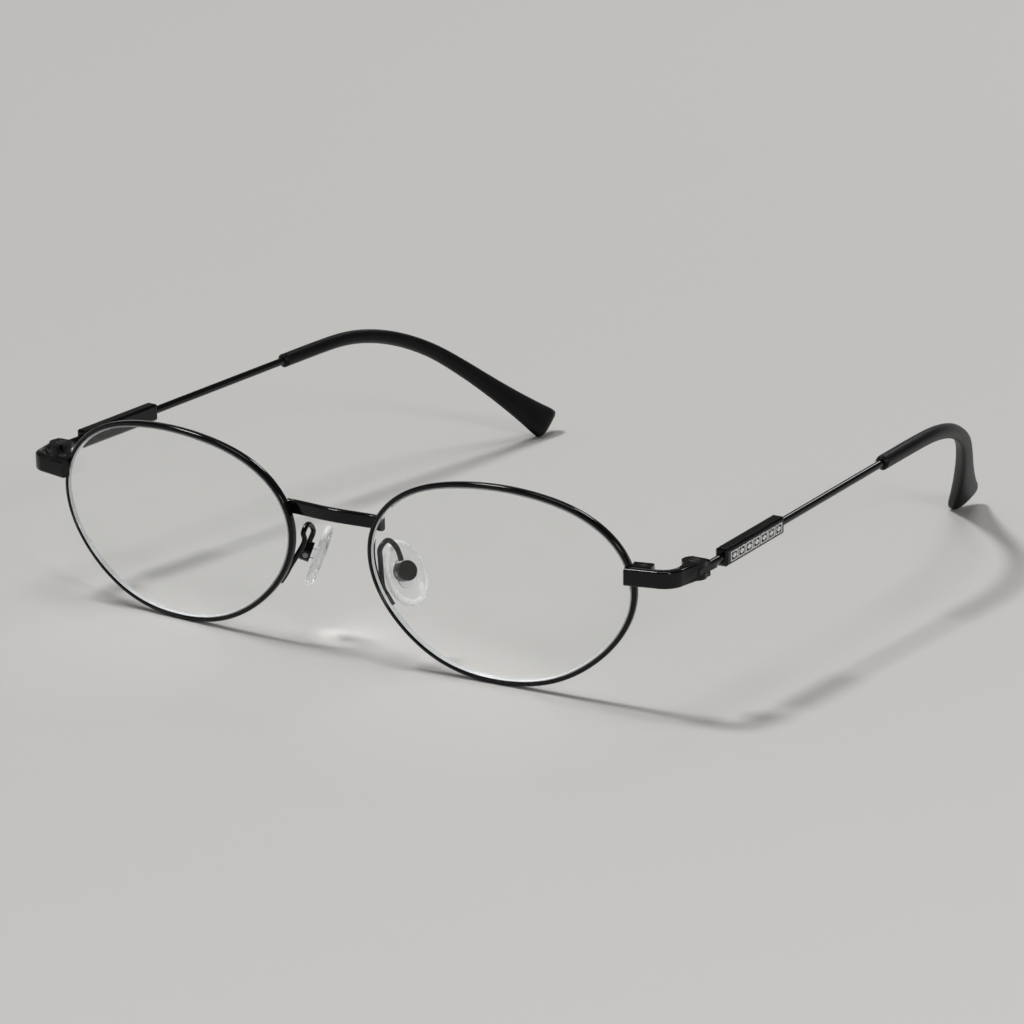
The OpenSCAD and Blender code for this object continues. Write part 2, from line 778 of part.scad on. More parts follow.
module nose_pad() {
    color(clear_silicone)
        at_pad()
            difference() {
                loft(
                    [for (s = pad_profile_shares) pad_ring(s[0], s[1] * pad_t / 2)],
                    [0, 0, -pad_t / 2], [0, 0, pad_t / 2]
                );
                pad_core_shape(seat);
            }
}

module pad_box() {
    slot_w = lug_t + 4 * slot_play;
    color(black_metal)
        at_lug()
            difference() {
                translate([0, 0, box_low])
                    cylinder(d = box_d, h = box_high - box_low);
                translate([-slot_w / 2, -box_d, box_low - over])
                    cube([slot_w, 2 * box_d, box_high - box_roof - box_low + over]);
                translate([-box_d, 0, lug_top])
                    rotate([0, 90, 0])
                        cylinder(d = pad_screw_d + 2 * pin_play, h = 2 * box_d);
                translate([box_d / 2 - pad_head_h, 0, lug_top])
                    rotate([0, 90, 0])
                        cylinder(d = pad_head_d + 2 * seat, h = box_d);
            }
}

module pad_screw() {
    color(dark_steel)
        at_lug()
            translate([box_d / 2 - pad_head_h + seat, 0, lug_top])
                rotate([0, -90, 0])
                    screw(pad_screw_d, box_d - pad_head_h, pad_head_d, pad_head_h);
}

// Pad arm: foot along the rim's back, up and back over a loop, down to the side of the box
foot_low_t = 208;
foot_high_t = 196;
arm_steps = 5;
arm_back = rim_d / 2 + solder_gap + arm_d / 2;
arm_loop_x = 8.45;
arm_loop_y = 5.85;
arm_loop_drop = 3.1;
arm_shoulder_x = 8.2;
arm_shoulder_y = 3.9;
arm_shoulder_drop = 4.1;
arm_leg_x = 8.15;
arm_leg_y = 3.95;
arm_leg_drop = 6;
// The wire comes down in line with the box, over this length, and ends on its side
arm_drop_l = 2.4;
arm_end_y = lug_rise + box_d / 2 + solder_gap;
arm_end_z = (box_low + box_high) / 2;
arm_stops = [
    rim_spot(foot_low_t, rim_t / 2, -arm_back),
    rim_spot((foot_low_t + foot_high_t) / 2, rim_t / 2, -arm_back),
    rim_spot(foot_high_t, rim_t / 2, -arm_back),
    [arm_leg_x, arm_leg_y, -arm_leg_drop],
    [arm_shoulder_x, arm_shoulder_y, -arm_shoulder_drop],
    [arm_loop_x, arm_loop_y, -arm_loop_drop],
    pad_spot([-lug_off, arm_end_y + arm_drop_l, arm_end_z]),
    pad_spot([-lug_off, arm_end_y, arm_end_z])
];
arm_path = smooth_path(arm_stops, arm_steps);

module pad_arm() {
    color(black_metal)
        loft([for (i = [0 : len(arm_path) - 1])
            set_ring(arm_path[i], path_dir(arm_path, i), [1, 0, 0], oval_outline(arm_d, arm_d, wire_steps))]);
}

// Rest: the frame tips until the rims' bottoms and the tips touch the surface together
function in_frame_rim(ring) = [for (p = ring) front_to_frame(lens_to_front(p))];
function in_frame_tip(ring) = [for (p = ring)
    spin_z([p[1] * sin(cant) + p[2] * cos(cant) + wire_off, p[0], p[1] * cos(cant) - p[2] * sin(cant)], tuck)
        + [hinge_x, hinge_y, 0]];
outer_points = concat(
    [for (ring = rim_rings) each in_frame_rim(ring)],
    [for (ring = tip_outer) each in_frame_tip(ring)]
);
function lowest(points) = let (low = min([for (p = points) p[2]])) [for (p = points) if (p[2] == low) p][0];
rim_low = lowest([for (ring = rim_rings) each in_frame_rim(ring)]);
tip_low = lowest([for (ring = tip_outer) each in_frame_tip(ring)]);
pitch = atan2(rim_low[2] - tip_low[2], tip_low[1] - rim_low[1]);
rested = [for (p = outer_points) spin_x(p, pitch)];
lift_z = -min([for (p = rested) p[2]]);
shift_y = -(min([for (p = rested) p[1]]) + max([for (p = rested) p[1]])) / 2;

module at_rest() {
    translate([0, shift_y, lift_z])
        rotate([pitch, 0, 0])
            children();
}

module left() {
    at_rest()
        children();
}

module right() {
    at_rest()
        mirror([1, 0, 0])
            children();
}

at_rest() bridge();
left() rim();  // rim_left
right() rim();  // rim_right
left() lens();  // lens_left
right() lens();  // lens_right
left() closing_block_upper();  // closing_block_upper_left
right() closing_block_upper();  // closing_block_upper_right
left() closing_block_lower();  // closing_block_lower_left
right() closing_block_lower();  // closing_block_lower_right
left() closing_screw();  // closing_screw_left
right() closing_screw();  // closing_screw_right
left() end_piece();  // end_piece_left
right() end_piece();  // end_piece_right
left() hinge_screw();  // hinge_screw_left
right() hinge_screw();  // hinge_screw_right
left() temple_tongue();  // temple_tongue_left
right() temple_tongue();  // temple_tongue_right
left() temple_block();  // temple_block_left
right() temple_block();  // temple_block_right
left() ornament();  // ornament_left
right() ornament();  // ornament_right
left() temple_wire();  // temple_wire_left
right() temple_wire();  // temple_wire_right
left() temple_tip();  // temple_tip_left
right() temple_tip();  // temple_tip_right
left() pad_arm();  // pad_arm_left
right() pad_arm();  // pad_arm_right
left() pad_box();  // pad_box_left
right() pad_box();  // pad_box_right
left() pad_screw();  // pad_screw_left
right() pad_screw();  // pad_screw_right
left() pad_core();  // pad_core_left
right() pad_core();  // pad_core_right
left() nose_pad();  // nose_pad_left
right() nose_pad();  // nose_pad_right
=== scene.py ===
"""Looks of the oval wire eyeglasses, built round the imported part, in its frame and in metres."""

import json
import logging
import math
from collections.abc import Callable
from dataclasses import dataclass
from enum import Enum

import bpy
import numpy as np
from mathutils import Matrix, Vector

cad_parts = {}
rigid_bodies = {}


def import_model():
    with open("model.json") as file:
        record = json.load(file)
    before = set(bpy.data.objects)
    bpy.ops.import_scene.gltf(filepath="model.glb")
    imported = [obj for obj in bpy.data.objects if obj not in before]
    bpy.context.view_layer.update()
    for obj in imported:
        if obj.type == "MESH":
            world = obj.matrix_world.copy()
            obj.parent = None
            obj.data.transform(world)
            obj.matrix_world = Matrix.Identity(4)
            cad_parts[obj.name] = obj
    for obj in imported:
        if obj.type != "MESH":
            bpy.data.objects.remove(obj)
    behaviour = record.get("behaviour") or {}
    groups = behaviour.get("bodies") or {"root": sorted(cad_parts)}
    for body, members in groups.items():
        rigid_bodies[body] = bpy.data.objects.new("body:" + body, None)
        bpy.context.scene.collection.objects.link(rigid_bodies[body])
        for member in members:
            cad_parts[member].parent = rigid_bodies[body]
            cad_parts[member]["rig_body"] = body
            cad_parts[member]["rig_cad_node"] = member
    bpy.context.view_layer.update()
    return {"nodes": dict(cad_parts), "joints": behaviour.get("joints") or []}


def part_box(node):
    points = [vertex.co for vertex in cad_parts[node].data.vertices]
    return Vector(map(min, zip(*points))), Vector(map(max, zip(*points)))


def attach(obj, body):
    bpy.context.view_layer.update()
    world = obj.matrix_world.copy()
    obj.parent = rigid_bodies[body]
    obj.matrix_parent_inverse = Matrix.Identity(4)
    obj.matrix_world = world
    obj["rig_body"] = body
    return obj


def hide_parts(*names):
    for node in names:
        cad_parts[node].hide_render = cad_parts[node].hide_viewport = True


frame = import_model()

MM = 0.001
LOG = logging.getLogger("eyeglasses")

Triple = tuple[float, float, float]


class Side(Enum):
    """The wearer's left lies on +X, and the right on -X."""

    LEFT = "left"
    RIGHT = "right"

    @property
    def sign(self) -> float:
        """1 on the wearer's left and -1 on the right."""
        return 1.0 if self is Side.LEFT else -1.0

    def of(self, part: str) -> str:
        """The name of a part on this side."""
        return f"{part}_{self.value}"


class Shader:
    """A material's node tree, with short calls that add nodes and join them."""

    relief_strength: float = 0.6

    def __init__(self, name: str) -> None:
        """Makes the material and keeps its Principled shader.

        Args:
            name: The material's name.
        """
        self.material = bpy.data.materials.new(name)
        self.material.use_nodes = True
        self.tree = self.material.node_tree
        self.surface = next(n for n in self.tree.nodes if n.type == "BSDF_PRINCIPLED")

    def settings(self, **values: object) -> "Shader":
        """Sets the shader's own sockets.

        Args:
            values: Socket names in lower case with underscores, and their values.

        Returns:
            This shader.
        """
        sockets = {s.name.lower().replace(" ", "_"): s for s in self.surface.inputs}
        for name, value in values.items():
            sockets[name].default_value = value
        return self

    def add(self, kind: str, **values: object) -> bpy.types.Node:
        """Adds a node.

        Args:
            kind: The node's type in Blender.
            values: Properties of the node.

        Returns:
            The new node.
        """
        node = self.tree.nodes.new(kind)
        for name, value in values.items():
            setattr(node, name, value)
        return node

    def group(self, tree: bpy.types.NodeTree, **values: float) -> bpy.types.Node:
        """Adds a shared effect with this material's values.

        Args:
            tree: The effect's node group.
            values: Input names in lower case, and their values.

        Returns:
            The group's node.
        """
        node = self.add("ShaderNodeGroup", node_tree=tree)
        sockets = {s.name.lower().replace(" ", "_"): s for s in node.inputs}
        for name, value in values.items():
            sockets[name].default_value = value
        return node

    def join(self, source: bpy.types.NodeSocket, target: str) -> None:
        """Joins a socket to the Principled shader's input of that name."""
        self.tree.links.new(source, self.surface.inputs[target])

    def colours(self, mask: bpy.types.NodeSocket, low: Triple, high: Triple) -> None:
        """Spreads two colours over the surface by a mask.

        Args:
            mask: The mask's socket, from 0 to 1.
            low: The colour where the mask is 0.
            high: The colour where the mask is 1.
        """
        mix = self.add("ShaderNodeMix", data_type="RGBA")
        mix.inputs["A"].default_value = (*low, 1.0)
        mix.inputs["B"].default_value = (*high, 1.0)
        self.tree.links.new(mask, mix.inputs["Factor"])
        self.join(mix.outputs["Result"], "Base Color")

    def relief(self, height: bpy.types.NodeSocket, depth: float) -> None:
        """Raises the surface by a height through a Bump node.

        Args:
            height: The height's socket.
            depth: The bump's distance.
        """
        bump = self.add("ShaderNodeBump")
        bump.inputs["Strength"].default_value = self.relief_strength
        bump.inputs["Distance"].default_value = depth
        self.tree.links.new(height, bump.inputs["Height"])
        self.join(bump.outputs["Normal"], "Normal")


class Effects:
    """Shader node groups that several finishes share."""

    grain_detail: float = 3.0
    grain_band: tuple[float, float] = (0.3, 0.7)
    smear_scale: float = 140.0
    smear_detail: float = 4.0
    smear_distortion: float = 0.6
    smear_band: tuple[float, float] = (0.42, 0.68)

    def __init__(self) -> None:
        """Builds each group once."""
        self.grain = self._grain()
        self.handling = self._handling()

    @staticmethod
    def _sockets(tree: bpy.types.NodeTree, inputs: dict, outputs: tuple) -> tuple:
        """Gives a group its named inputs and outputs.

        Args:
            tree: The group.
            inputs: Input names and their defaults.
            outputs: Output names.

        Returns:
            The group's input node and output node.
        """
        for name, value in inputs.items():
            socket = tree.interface.new_socket(name, in_out="INPUT", socket_type="NodeSocketFloat")
            socket.default_value = value
        for name in outputs:
            tree.interface.new_socket(name, in_out="OUTPUT", socket_type="NodeSocketFloat")
        return tree.nodes.new("NodeGroupInput"), tree.nodes.new("NodeGroupOutput")

    def _grain(self) -> bpy.types.NodeTree:
        """Fine unevenness of a finish, given as a roughness and as a height.

        Returns:
            The node group.
        """
        tree = bpy.data.node_groups.new("fine_grain", "ShaderNodeTree")
        start, end = self._sockets(
            tree, {"Scale": 3000.0, "Smooth": 0.2, "Rough": 0.3}, ("Roughness", "Height")
        )
        place = tree.nodes.new("ShaderNodeTexCoord")
        noise = tree.nodes.new("ShaderNodeTexNoise")
        noise.inputs["Detail"].default_value = self.grain_detail
        spread = tree.nodes.new("ShaderNodeMapRange")
        for name, value in zip(("From Min", "From Max"), self.grain_band):
            spread.inputs[name].default_value = value
        for source, target in (
            (place.outputs["Object"], noise.inputs["Vector"]),
            (start.outputs["Scale"], noise.inputs["Scale"]),
            (noise.outputs["Fac"], spread.inputs["Value"]),
            (start.outputs["Smooth"], spread.inputs["To Min"]),
            (start.outputs["Rough"], spread.inputs["To Max"]),
            (spread.outputs["Result"], end.inputs["Roughness"]),
            (noise.outputs["Fac"], end.inputs["Height"]),
        ):
            tree.links.new(source, target)
        return tree

    def _handling(self) -> bpy.types.NodeTree:
        """Marks of handling: soft smears, as a mask.

        Returns:
            The node group.
        """
        tree = bpy.data.node_groups.new("handling_marks", "ShaderNodeTree")
        start, end = self._sockets(tree, {"Smear Scale": self.smear_scale}, ("Smear",))
        place = tree.nodes.new("ShaderNodeTexCoord")
        smear = tree.nodes.new("ShaderNodeTexNoise")
        smear.inputs["Detail"].default_value = self.smear_detail
        smear.inputs["Distortion"].default_value = self.smear_distortion
        soft = tree.nodes.new("ShaderNodeMapRange")
        soft.interpolation_type = "SMOOTHSTEP"
        for name, value in zip(("From Min", "From Max"), self.smear_band):
            soft.inputs[name].default_value = value
        for source, target in (
            (place.outputs["Object"], smear.inputs["Vector"]),
            (start.outputs["Smear Scale"], smear.inputs["Scale"]),
            (smear.outputs["Fac"], soft.inputs["Value"]),
            (soft.outputs["Result"], end.inputs["Smear"]),
        ):
            tree.links.new(source, target)
        return tree


@dataclass(frozen=True)
class Finish:
    """What every finish has: two colours, a span of roughness and a fine grain."""

    name: str
    slot: str
    low: Triple
    high: Triple
    smooth: float
    rough: float
    grain_scale: float
    grain_depth: float

    def wear(self, shader: Shader, effects: Effects) -> bpy.types.Material:
        """Adds the colours, the roughness and the grain to a shader.

        Args:
            shader: The material's shader.
            effects: The shared node groups.

        Returns:
            The material.
        """
        grain = shader.group(
            effects.grain, scale=self.grain_scale, smooth=self.smooth, rough=self.rough
        )
        marks = shader.group(effects.handling)
        shader.colours(marks.outputs["Smear"], self.low, self.high)
        shader.join(grain.outputs["Roughness"], "Roughness")
        shader.relief(grain.outputs["Height"], self.grain_depth)
        return shader.material


@dataclass(frozen=True)
class CoatedFinish(Finish):
    """An opaque finish: lacquer, plastic, steel or plated relief, told apart by its values."""

    metallic: float = 0.0
    specular: float = 0.5

    def make(self, effects: Effects) -> bpy.types.Material:
        """Builds the material.

        Args:
            effects: The shared node groups.

        Returns:
            The material.
        """
        shader = Shader(self.name)
        shader.settings(metallic=self.metallic, specular_ior_level=self.specular)
        return self.wear(shader, effects)


@dataclass(frozen=True)
class ClearFinish(Finish):
    """A see-through finish: lens, insert or silicone, told apart by its values."""

    ior: float
    clear: float = 1.0

    def make(self, effects: Effects) -> bpy.types.Material:
        """Builds the material.

        Args:
            effects: The shared node groups.

        Returns:
            The material.
        """
        shader = Shader(self.name)
        shader.settings(transmission_weight=self.clear, metallic=0.0, ior=self.ior)
        return self.wear(shader, effects)


LACQUER = CoatedFinish(
    "black_lacquer", "black_frame", (0.0016, 0.0016, 0.0018), (0.0032, 0.0032, 0.0036),
    0.06, 0.13, 2600.0, 0.003 * MM, specular=0.26,
)
TIP_PLASTIC = CoatedFinish(
    "black_tip_plastic", "black_tip", (0.002, 0.0022, 0.003), (0.004, 0.0045, 0.0058),
    0.36, 0.46, 4200.0, 0.006 * MM, specular=0.18,
)
DARK_STEEL = CoatedFinish(
    "dark_screw_steel", "dark_screw", (0.24, 0.24, 0.25), (0.4, 0.4, 0.41),
    0.24, 0.42, 5200.0, 0.006 * MM, metallic=1.0,
)
BLACK_STEEL = CoatedFinish(
    "blackened_screw_steel", "dark_screw", (0.1, 0.1, 0.104), (0.22, 0.22, 0.226),
    0.2, 0.36, 5200.0, 0.006 * MM, metallic=1.0,
)
SILVER = CoatedFinish(
    "silver_relief", "silver", (0.96, 0.96, 0.96), (0.84, 0.84, 0.85),
    0.2, 0.36, 3600.0, 0.008 * MM, metallic=1.0,
)
RELIEF_GROUND = CoatedFinish(
    "dark_relief_ground", "silver", (0.006, 0.006, 0.006), (0.02, 0.02, 0.021),
    0.4, 0.6, 5200.0, 0.02 * MM, specular=0.2,
)
# Pale ground edge of the lens: partly the frosted edge's own colour, partly a painted reflection
# standing in for the bright line of light the lens edge carries.
GROUND_EDGE_AND_REFLECTION = CoatedFinish(
    "ground_lens_edge", "clear_lens", (0.66, 0.675, 0.68), (0.8, 0.81, 0.815),
    0.4, 0.6, 6000.0, 0.02 * MM,
)
INSERT = ClearFinish(
    "clear_insert_nylon", "clear_insert", (0.93, 0.94, 0.95), (0.88, 0.9, 0.91),
    0.12, 0.22, 1800.0, 0.004 * MM, ior=1.53,
)
LENS = ClearFinish(
    "clear_lens_material", "clear_lens", (0.985, 0.99, 0.988), (0.97, 0.98, 0.975),
    0.0, 0.015, 220.0, 0.0002 * MM, ior=1.33,
)
SILICONE = ClearFinish(
    "clear_silicone_rubber", "clear_silicone", (0.97, 0.975, 0.98), (0.93, 0.94, 0.95),
    0.04, 0.1, 1400.0, 0.004 * MM, ior=1.41, clear=0.93,
)
# Whiter, less clear band on the pad's rim: a painted reflection standing in for the bright light
# the silicone's edge catches.
SILICONE_EDGE_REFLECTION = ClearFinish(
    "milky_silicone_edge", "clear_silicone", (0.97, 0.97, 0.97), (0.99, 0.99, 0.99),
    0.25, 0.4, 2400.0, 0.006 * MM, ior=1.41, clear=0.35,
)


class Palette:
    """Every finish's material, built once."""

    def __init__(self) -> None:
        """Builds the shared effects and then each finish."""
        effects = Effects()
        finishes = (
            LACQUER, TIP_PLASTIC, DARK_STEEL, BLACK_STEEL, SILVER, RELIEF_GROUND, GROUND_EDGE_AND_REFLECTION,
            INSERT, LENS, SILICONE, SILICONE_EDGE_REFLECTION,
        )
        self.materials = {finish.name: finish.make(effects) for finish in finishes}

    def dress(self, piece: bpy.types.Object, *finishes: Finish) -> None:
        """Gives a piece its finishes, one per material slot, in order."""
        piece.data.materials.clear()
        for finish in finishes:
            piece.data.materials.append(self.materials[finish.name])

    def dress_node(self, node: str, finish: Finish) -> None:
        """Gives a carried-over node its finish."""
        for slot in frame["nodes"][node].material_slots:
            slot.material = self.materials[finish.name]


class Bench:
    """The steps of modelling that the pieces share. Angles are in degrees."""

    weld_gap: float = 0.0005 * MM
    quad_turn: float = 35.0
    quad_skew: float = 50.0
    flat_turn: float = 0.6
    region_segments: int = 4

    @staticmethod
    def pick(piece: bpy.types.Object) -> None:
        """Leaves this piece alone selected and active."""
        bpy.ops.object.select_all(action="DESELECT")
        piece.select_set(True)
        bpy.context.view_layer.objects.active = piece

    @staticmethod
    def copy_node(node: str, name: str) -> bpy.types.Object:
        """Copies a node as a new piece, merged and in quads.

        Args:
            node: The node.
            name: The new piece's name.

        Returns:
            The new piece.
        """
        Bench.pick(frame["nodes"][node])
        bpy.ops.object.duplicate()
        piece = bpy.context.view_layer.objects.active
        piece.name = piece.data.name = name
        piece.parent = None
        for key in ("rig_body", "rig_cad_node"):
            del piece[key]
        bpy.ops.mesh.customdata_custom_splitnormals_clear()
        bpy.ops.object.mode_set(mode="EDIT")
        bpy.ops.mesh.select_all(action="SELECT")
        bpy.ops.mesh.remove_doubles(threshold=Bench.weld_gap)
        bpy.ops.mesh.tris_convert_to_quads(
            face_threshold=math.radians(Bench.quad_turn),
            shape_threshold=math.radians(Bench.quad_skew),
        )
        bpy.ops.object.mode_set(mode="OBJECT")
        return piece

    @staticmethod
    def merge_flats(piece: bpy.types.Object) -> None:
        """Joins the faces that lie in one plane."""
        Bench.pick(piece)
        bpy.ops.object.mode_set(mode="EDIT")
        bpy.ops.mesh.select_all(action="SELECT")
        bpy.ops.mesh.dissolve_limited(angle_limit=math.radians(Bench.flat_turn))
        bpy.ops.object.mode_set(mode="OBJECT")

    @staticmethod
    def crease(piece: bpy.types.Object, angle: float) -> None:
        """Creases the edges sharper than an angle in degrees."""
        Bench.pick(piece)
        bpy.ops.object.mode_set(mode="EDIT")
        bpy.ops.mesh.select_mode(type="EDGE")
        bpy.ops.mesh.select_all(action="DESELECT")
        bpy.ops.mesh.edges_select_sharp(sharpness=math.radians(angle))
        bpy.ops.transform.edge_crease(value=1.0)
        bpy.ops.object.mode_set(mode="OBJECT")

    @staticmethod
    def modifier(piece: bpy.types.Object, kind: str, **values: object) -> None:
        """Adds a modifier and applies it.

        Args:
            piece: The piece.
            kind: The modifier's type.
            values: The modifier's properties.
        """
        Bench.pick(piece)
        made = piece.modifiers.new(kind.lower(), kind)
        for name, value in values.items():
            setattr(made, name, value)
        bpy.ops.object.modifier_apply(modifier=made.name)

    @staticmethod
    def smooth(piece: bpy.types.Object, angle: float) -> None:
        """Shades smooth across edges flatter than an angle in degrees."""
        Bench.pick(piece)
        bpy.ops.object.shade_smooth_by_angle(angle=math.radians(angle))

    @staticmethod
    def subdivide(piece: bpy.types.Object, levels: int, sharp: float) -> None:
        """Rounds a piece with a subdivision surface.

        Args:
            piece: The piece.
            levels: Subdivision levels.
            sharp: Edges sharper than this angle in degrees stay sharp.
        """
        Bench.crease(piece, sharp)
        Bench.modifier(piece, "SUBSURF", levels=levels, render_levels=levels)
        Bench.smooth(piece, sharp)

    @staticmethod
    def round_edges(piece: bpy.types.Object, width: float, segments: int, angle: float) -> None:
        """Rounds the edges sharper than an angle.

        Args:
            piece: The piece.
            width: The rounding's width.
            segments: Faces across the rounding.
            angle: The angle in degrees.
        """
        Bench.merge_flats(piece)
        Bench.smooth(piece, angle)
        Bench.modifier(
            piece, "BEVEL", width=width, segments=segments, limit_method="ANGLE",
            angle_limit=math.radians(angle), harden_normals=True, use_clamp_overlap=True,
        )

    @staticmethod
    def round_region(
        piece: bpy.types.Object, width: float, angle: float, inside: Callable[[Vector], bool]
    ) -> None:
        """Rounds the edges sharper than an angle in one region of a piece.

        Args:
            piece: The piece.
            width: The rounding's width.
            angle: The angle in degrees.
            inside: Says whether a point lies in the region.
        """
        Bench.merge_flats(piece)
        bpy.ops.object.mode_set(mode="EDIT")
        bpy.ops.mesh.select_mode(type="EDGE")
        bpy.ops.mesh.select_all(action="DESELECT")
        bpy.ops.mesh.edges_select_sharp(sharpness=math.radians(angle))
        bpy.ops.object.mode_set(mode="OBJECT")
        mesh = piece.data
        chosen = [
            e.index for e in mesh.edges
            if e.select and all(inside(mesh.vertices[i].co) for i in e.vertices)
        ]
        for part in (mesh.vertices, mesh.edges, mesh.polygons):
            part.foreach_set("select", [False] * len(part))
        for index in chosen:
            mesh.edges[index].select = True
        bpy.ops.object.mode_set(mode="EDIT")
        bpy.ops.mesh.bevel(
            offset=width, segments=Bench.region_segments, affect="EDGES", clamp_overlap=True
        )
        bpy.ops.object.mode_set(mode="OBJECT")

    @staticmethod
    def place(piece: bpy.types.Object, matrix: Matrix) -> None:
        """Puts a piece in its place and writes the place into its mesh."""
        piece.matrix_world = matrix
        Bench.pick(piece)
        bpy.ops.object.transform_apply(location=True, rotation=True, scale=True)

    @staticmethod
    def twin(piece: bpy.types.Object, name: str, matrix: Matrix) -> bpy.types.Object:
        """Copies a piece with its own mesh and puts the copy in its place.

        Args:
            piece: The piece to copy.
            name: The copy's name.
            matrix: The copy's place.

        Returns:
            The copy.
        """
        Bench.pick(piece)
        bpy.ops.object.duplicate()
        copy = bpy.context.view_layer.objects.active
        copy.name = copy.data.name = name
        Bench.place(copy, matrix)
        return copy

    @staticmethod
    def hand_over(piece: bpy.types.Object, body: str, slot: str, *nodes: str) -> None:
        """Says what a piece rides on and hides the nodes it stands for.

        Args:
            piece: The piece.
            body: The body it rides on.
            slot: The record's material slot; not used.
            nodes: The nodes that it replaces.
        """
        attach(piece, body)
        if nodes:
            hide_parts(*nodes)
        LOG.info("%s: %d faces, rides on %s", piece.name, len(piece.data.polygons), body)


@dataclass
class LocalFrame:
    """A node's own axes: its length, width and thickness, and its middle."""

    middle: Vector
    length_axis: Vector
    width_axis: Vector
    thick_axis: Vector
    size: Vector

    @classmethod
    def of(
        cls, node: str, length_hint: Vector, thick_hint: Vector, across: Vector | None = None
    ) -> "LocalFrame":
        """Finds the axes from the node's own points.

        Args:
            node: The node.
            length_hint: A direction roughly along the length axis's positive end.
            thick_hint: A direction roughly along the thickness axis's positive end.
            across: The width axis, where it is known.

        Returns:
            The frame.
        """
        points = np.array([v.co for v in frame["nodes"][node].data.vertices], float)
        centred = points - points.mean(0)
        _, vectors = np.linalg.eigh(centred.T @ centred)
        thick, length = Vector(vectors[:, 0]), Vector(vectors[:, 2])
        length *= 1.0 if length.dot(length_hint) > 0 else -1.0
        if across is not None:
            thick = across.cross(length).normalized()
        thick *= 1.0 if thick.dot(thick_hint) > 0 else -1.0
        width = length.cross(thick)
        axes = np.array([width, length, thick])
        low, high = (points @ axes.T).min(0), (points @ axes.T).max(0)
        middle = Vector(axes.T @ ((low + high) / 2))
        return cls(middle, length, width, thick, Vector(high - low))

    def matrix(self) -> Matrix:
        """The frame's matrix: X is the width, Y the length and Z the thickness."""
        turn = Matrix((self.width_axis, self.length_axis, self.thick_axis)).transposed()
        return Matrix.Translation(self.middle) @ turn.to_4x4()


